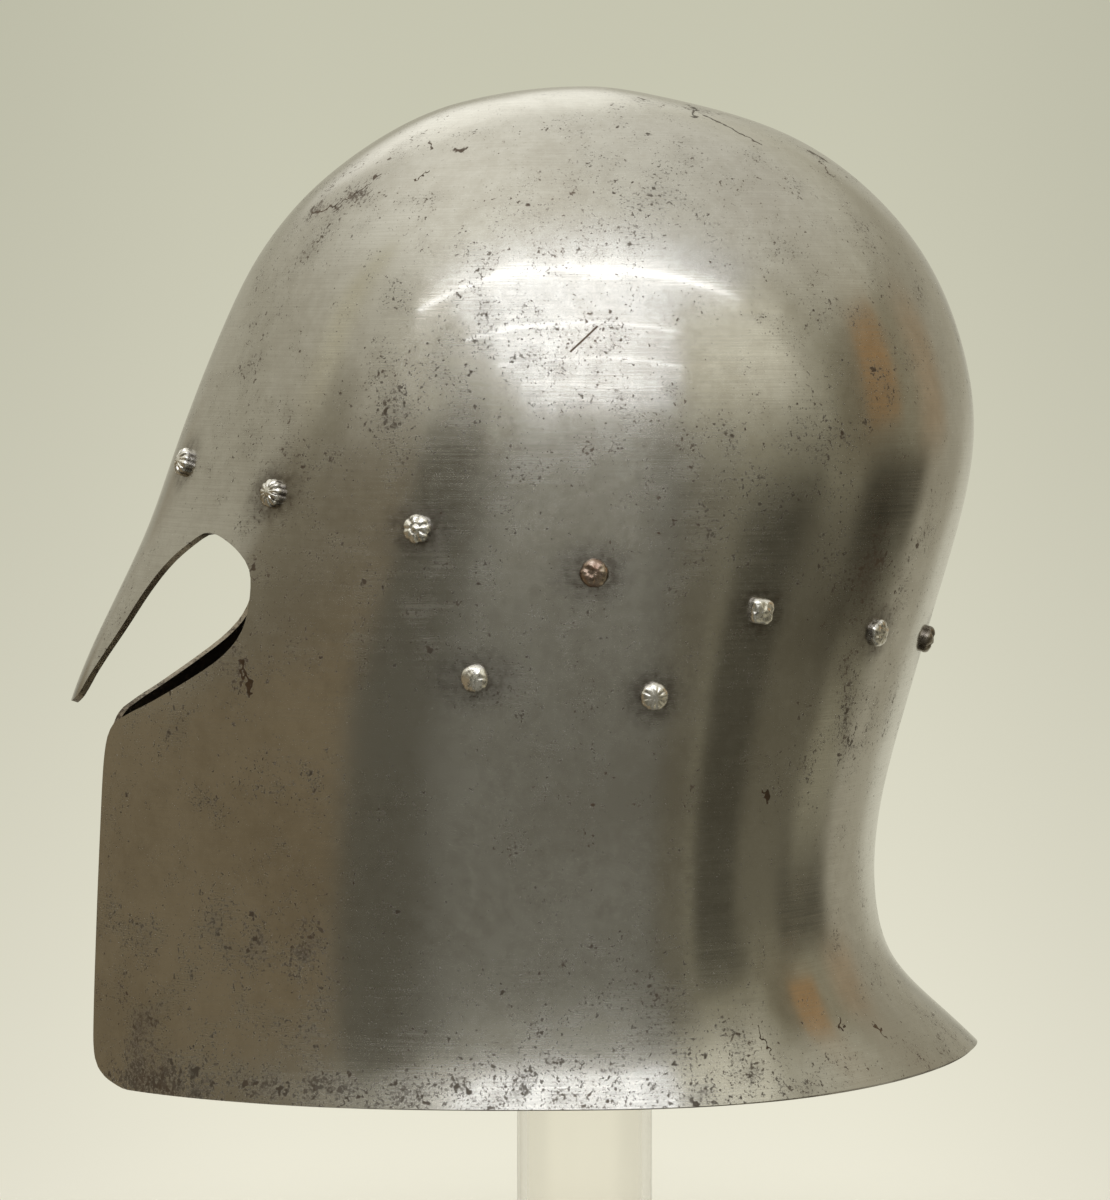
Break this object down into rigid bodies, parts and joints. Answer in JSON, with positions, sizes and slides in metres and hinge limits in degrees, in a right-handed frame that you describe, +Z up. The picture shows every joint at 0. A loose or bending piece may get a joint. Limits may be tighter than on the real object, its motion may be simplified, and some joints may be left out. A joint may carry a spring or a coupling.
{
  "type": "barbute helmet on a display stand",
  "caption": "Open-faced steel helmet with a T-shaped face opening, pointed nasal, cheek plates, flared tail and a row of rivets, on a clear post stand.",
  "frame": {"origin": "centre of the underside of the stand's foot, on the surface that it stands on, straight below the crown", "axes": "+Z up; the helmet faces -Y; +X is the wearer's left, and the plane X = 0 is the plane of symmetry"},
  "size_m": [0.2048, 0.2726, 0.39],
  "materials": {
    "steel": "old polished steel plate, brushed along, with brown patina and pitting",
    "rivet_steel": "worn domed rivet heads, a few of them rusty",
    "clear_acrylic": "clear polished acrylic",
    "pad_felt": "matt black felt"
  },
  "bodies": {
    "root": {"shell": "steel", "lining_rivet_left_1": "rivet_steel", "lining_rivet_left_2": "rivet_steel", "lining_rivet_left_3": "rivet_steel", "lining_rivet_left_4": "rivet_steel", "lining_rivet_left_5": "rivet_steel", "lining_rivet_left_6": "rivet_steel", "lining_rivet_left_7": "rivet_steel", "lining_rivet_right_1": "rivet_steel", "lining_rivet_right_2": "rivet_steel", "lining_rivet_right_3": "rivet_steel", "lining_rivet_right_4": "rivet_steel", "lining_rivet_right_5": "rivet_steel", "lining_rivet_right_6": "rivet_steel", "lining_rivet_right_7": "rivet_steel", "strap_rivet_left_1": "rivet_steel", "strap_rivet_left_2": "rivet_steel", "strap_rivet_right_1": "rivet_steel", "strap_rivet_right_2": "rivet_steel", "stand_base": "clear_acrylic", "stand_tube": "clear_acrylic", "stand_head": "clear_acrylic", "crown_pad": "pad_felt"}
  },
  "joints": []
}
